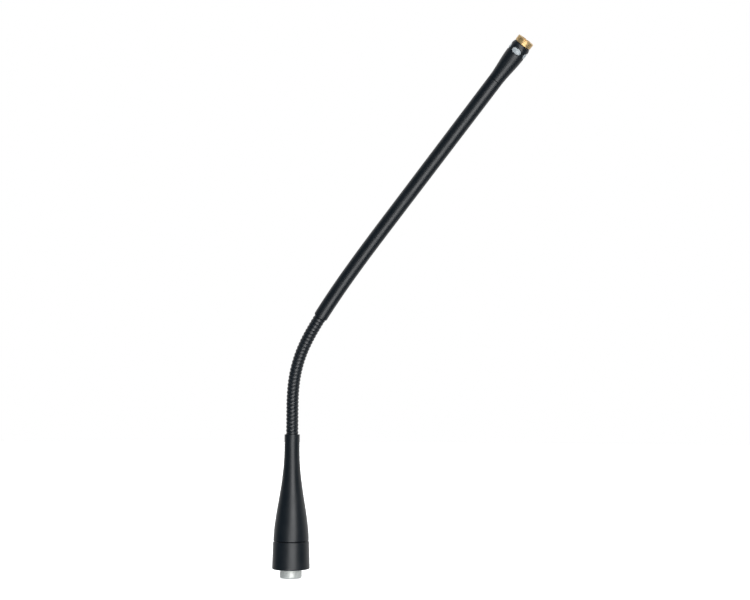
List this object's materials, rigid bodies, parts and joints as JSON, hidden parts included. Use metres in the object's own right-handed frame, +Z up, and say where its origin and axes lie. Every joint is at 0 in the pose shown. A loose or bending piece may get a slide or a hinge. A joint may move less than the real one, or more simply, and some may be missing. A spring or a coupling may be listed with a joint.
{
  "type": "gooseneck podium microphone",
  "caption": "Gooseneck podium microphone stem: locking plug base, flexible coiled neck, rigid tube and a lit head with a threaded collar for a capsule.",
  "frame": {"origin": "centre of the locking ring's seating face, where the base meets the socket", "axes": "+Z up along the base, the neck leans towards +X, +Y completes the right hand"},
  "size_m": [0.1471, 0.019, 0.2552],
  "materials": {
    "black_coat": "satin black coat",
    "black_coil": "satin black oxide on wound spring wire",
    "nickel": "satin nickel plate",
    "gold_brass": "turned, gold coloured",
    "steel": "turned",
    "rubber": "matte",
    "dark_plastic": "matte",
    "pale_plastic": "matte",
    "frosted": "frosted, translucent",
    "board_green": "solder mask",
    "cable_grey": "matte",
    "lamp_white": "diffuse lamp body"
  },
  "bodies": {
    "base": {"base_cone": "black_coat", "plug_sleeve": "nickel", "plug_insulator": "dark_plastic", "contact_pin_1": "gold_brass", "contact_pin_2": "gold_brass", "contact_pin_3": "gold_brass", "contact_pin_4": "gold_brass", "contact_pin_5": "gold_brass", "retaining_ring": "steel", "seal_ring": "rubber", "base_board": "board_green", "board_chip": "dark_plastic", "board_capacitor": "steel", "cable_clamp": "pale_plastic", "lower_ferrule": "steel", "ferrule_nut": "steel", "set_screw": "steel", "neck_coil_root": "black_coil", "signal_cable": "cable_grey"},
    "ring": {"locking_ring": "black_coat"},
    "neck_01": {"neck_coil_01": "black_coil"},
    "neck_02": {"neck_coil_02": "black_coil"},
    "neck_03": {"neck_coil_03": "black_coil"},
    "neck_04": {"neck_coil_04": "black_coil"},
    "neck_05": {"neck_coil_05": "black_coil"},
    "neck_06": {"neck_coil_06": "black_coil"},
    "neck_07": {"neck_coil_07": "black_coil"},
    "neck_08": {"neck_coil_08": "black_coil"},
    "neck_09": {"neck_coil_09": "black_coil"},
    "neck_10": {"neck_coil_10": "black_coil"},
    "neck_11": {"neck_coil_11": "black_coil"},
    "neck_12": {"neck_coil_12": "black_coil"},
    "neck_13": {"neck_coil_13": "black_coil"},
    "neck_14": {"neck_coil_14": "black_coil"},
    "neck_15": {"neck_coil_15": "black_coil"},
    "stem": {"stem_tube": "black_coat", "upper_ferrule": "steel", "neck_coil_tip": "black_coil", "head_sleeve": "black_coat", "light_guide": "frosted", "led_board": "board_green", "led_1": "lamp_white", "led_2": "lamp_white", "led_3": "lamp_white", "led_4": "lamp_white", "capsule_thread": "gold_brass", "contact_insulator": "pale_plastic", "contact_barrel": "gold_brass", "contact_spring": "steel"},
    "contact": {"center_contact": "gold_brass"}
  },
  "joints": [
    {"name": "ring_turn", "type": "hinge", "parent": "base", "child": "ring", "pos_m": [0, 0, 0.0066], "axis": [0, 0, 1], "continuous": true},
    {"name": "neck_bend", "type": "hinge", "parent": "base", "child": "neck_01", "pos_m": [0, 0, 0.0696], "axis": [0, 1, 0], "range_deg": [-16, 5.5], "deforming": ["signal_cable"]},
    {"name": "neck_sway", "type": "hinge", "parent": "neck_01", "child": "neck_02", "pos_m": [0, 0, 0.07344], "axis": [1, 0, 0], "range_deg": [-10, 10]},
    {"name": "neck_bend_02", "type": "hinge", "parent": "neck_02", "child": "neck_03", "pos_m": [0, 0, 0.07728], "axis": [0, 1, 0], "range_deg": [-16, 5.5]},
    {"name": "neck_sway_02", "type": "hinge", "parent": "neck_03", "child": "neck_04", "pos_m": [0.00001, 0, 0.08112], "axis": [1, 0, -0.0075], "range_deg": [-10, 10]},
    {"name": "neck_bend_03", "type": "hinge", "parent": "neck_04", "child": "neck_05", "pos_m": [0.00008, 0, 0.08496], "axis": [0, 1, 0], "range_deg": [-16, 5.5]},
    {"name": "neck_sway_03", "type": "hinge", "parent": "neck_05", "child": "neck_06", "pos_m": [0.0003, 0, 0.08879], "axis": [0.9968, 0, -0.0802], "range_deg": [-10, 10]},
    {"name": "neck_bend_04", "type": "hinge", "parent": "neck_06", "child": "neck_07", "pos_m": [0.00072, 0, 0.09261], "axis": [0, 1, 0], "range_deg": [-16, 5.5]},
    {"name": "neck_sway_04", "type": "hinge", "parent": "neck_07", "child": "neck_08", "pos_m": [0.00137, 0, 0.09639], "axis": [0.9788, 0, -0.2048], "range_deg": [-10, 10]},
    {"name": "neck_bend_05", "type": "hinge", "parent": "neck_08", "child": "neck_09", "pos_m": [0.0023, 0, 0.10012], "axis": [0, 1, 0], "range_deg": [-16, 5.5]},
    {"name": "neck_sway_05", "type": "hinge", "parent": "neck_09", "child": "neck_10", "pos_m": [0.00349, 0, 0.10377], "axis": [0.9374, 0, -0.3482], "range_deg": [-10, 10]},
    {"name": "neck_bend_06", "type": "hinge", "parent": "neck_10", "child": "neck_11", "pos_m": [0.00497, 0, 0.10731], "axis": [0, 1, 0], "range_deg": [-16, 5.5]},
    {"name": "neck_sway_06", "type": "hinge", "parent": "neck_11", "child": "neck_12", "pos_m": [0.00669, 0, 0.11074], "axis": [0.8783, 0, -0.4782], "range_deg": [-10, 10]},
    {"name": "neck_bend_07", "type": "hinge", "parent": "neck_12", "child": "neck_13", "pos_m": [0.00863, 0, 0.11406], "axis": [0, 1, 0], "range_deg": [-16, 5.5]},
    {"name": "neck_sway_07", "type": "hinge", "parent": "neck_13", "child": "neck_14", "pos_m": [0.01074, 0, 0.11726], "axis": [0.8224, 0, -0.5689], "range_deg": [-10, 10]},
    {"name": "neck_bend_08", "type": "hinge", "parent": "neck_14", "child": "neck_15", "pos_m": [0.01299, 0, 0.12038], "axis": [0, 1, 0], "range_deg": [-16, 5.5]},
    {"name": "neck_sway_08", "type": "hinge", "parent": "neck_15", "child": "stem", "pos_m": [0.01534, 0, 0.12341], "axis": [0.7848, 0, -0.6197], "range_deg": [-10, 10]},
    {"name": "contact_press", "type": "slide", "parent": "stem", "child": "contact", "axis": [-0.7022, 0, -0.712], "range_m": [0, 0.0008], "stiffness_N_per_m": 250, "springref_m": -0.0008, "deforming": ["contact_spring"]}
  ]
}
